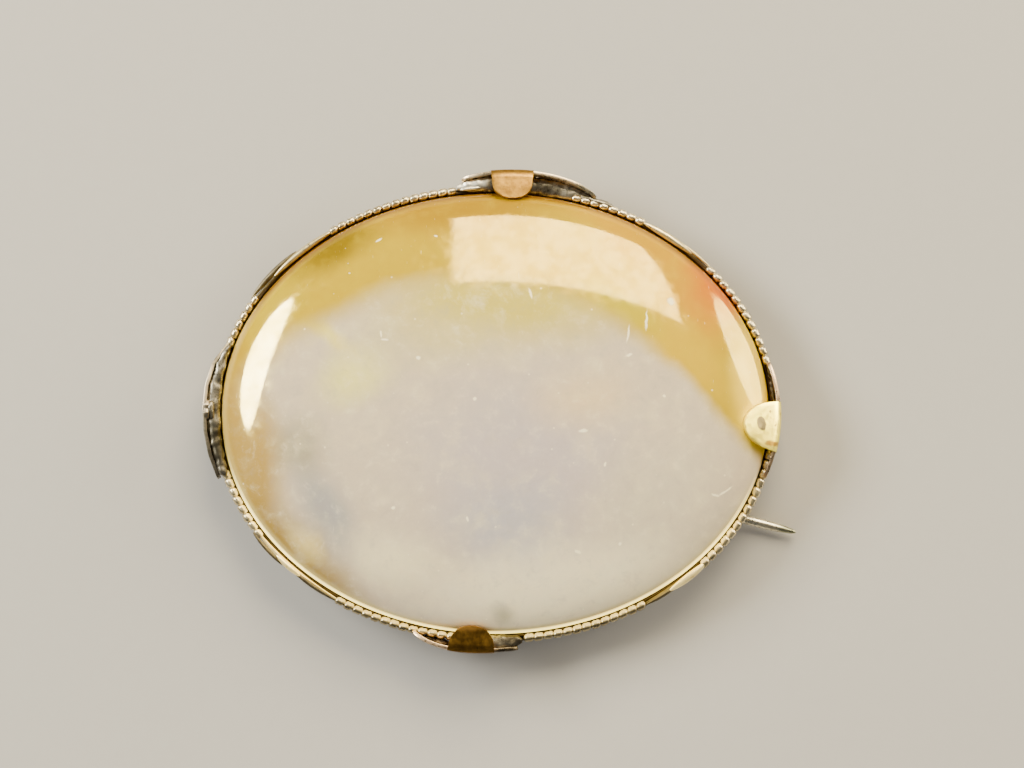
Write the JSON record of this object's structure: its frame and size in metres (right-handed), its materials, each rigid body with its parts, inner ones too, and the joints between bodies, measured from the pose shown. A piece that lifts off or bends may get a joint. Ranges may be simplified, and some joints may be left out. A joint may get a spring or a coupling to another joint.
{
  "type": "moonstone brooch",
  "caption": "Oval brooch with a low domed translucent stone in a beaded gilt setting with folded claws and a hinged pin across the back.",
  "frame": {"origin": "centre of the oval, at the level of the lowest point of the back", "axes": "+X along the long axis of the oval towards the pin's tip, +Y towards the top edge as worn, +Z out of the front of the stone"},
  "size_m": [0.0487, 0.0397, 0.0086],
  "materials": {
    "stone": "polished translucent cabochon, milky grey centre with an ochre band and a warm rim",
    "gilt_metal": "worn low-carat gold with dull grey tarnish in the recesses",
    "hinge_metal": "dull worn rivet",
    "pin_wire": "drawn wire, dull, slightly greenish at the tip"
  },
  "bodies": {
    "brooch": {"stone": "stone", "setting": "gilt_metal", "hinge_rivet": "hinge_metal"},
    "pin_wire": {"pin": "pin_wire"}
  },
  "joints": [
    {"name": "pin_hinge", "type": "hinge", "parent": "brooch", "child": "pin_wire", "pos_m": [-0.0213, 0.00231, 0.00075], "axis": [0.2504, 0.9681, 0], "range_deg": [0, 75]}
  ]
}
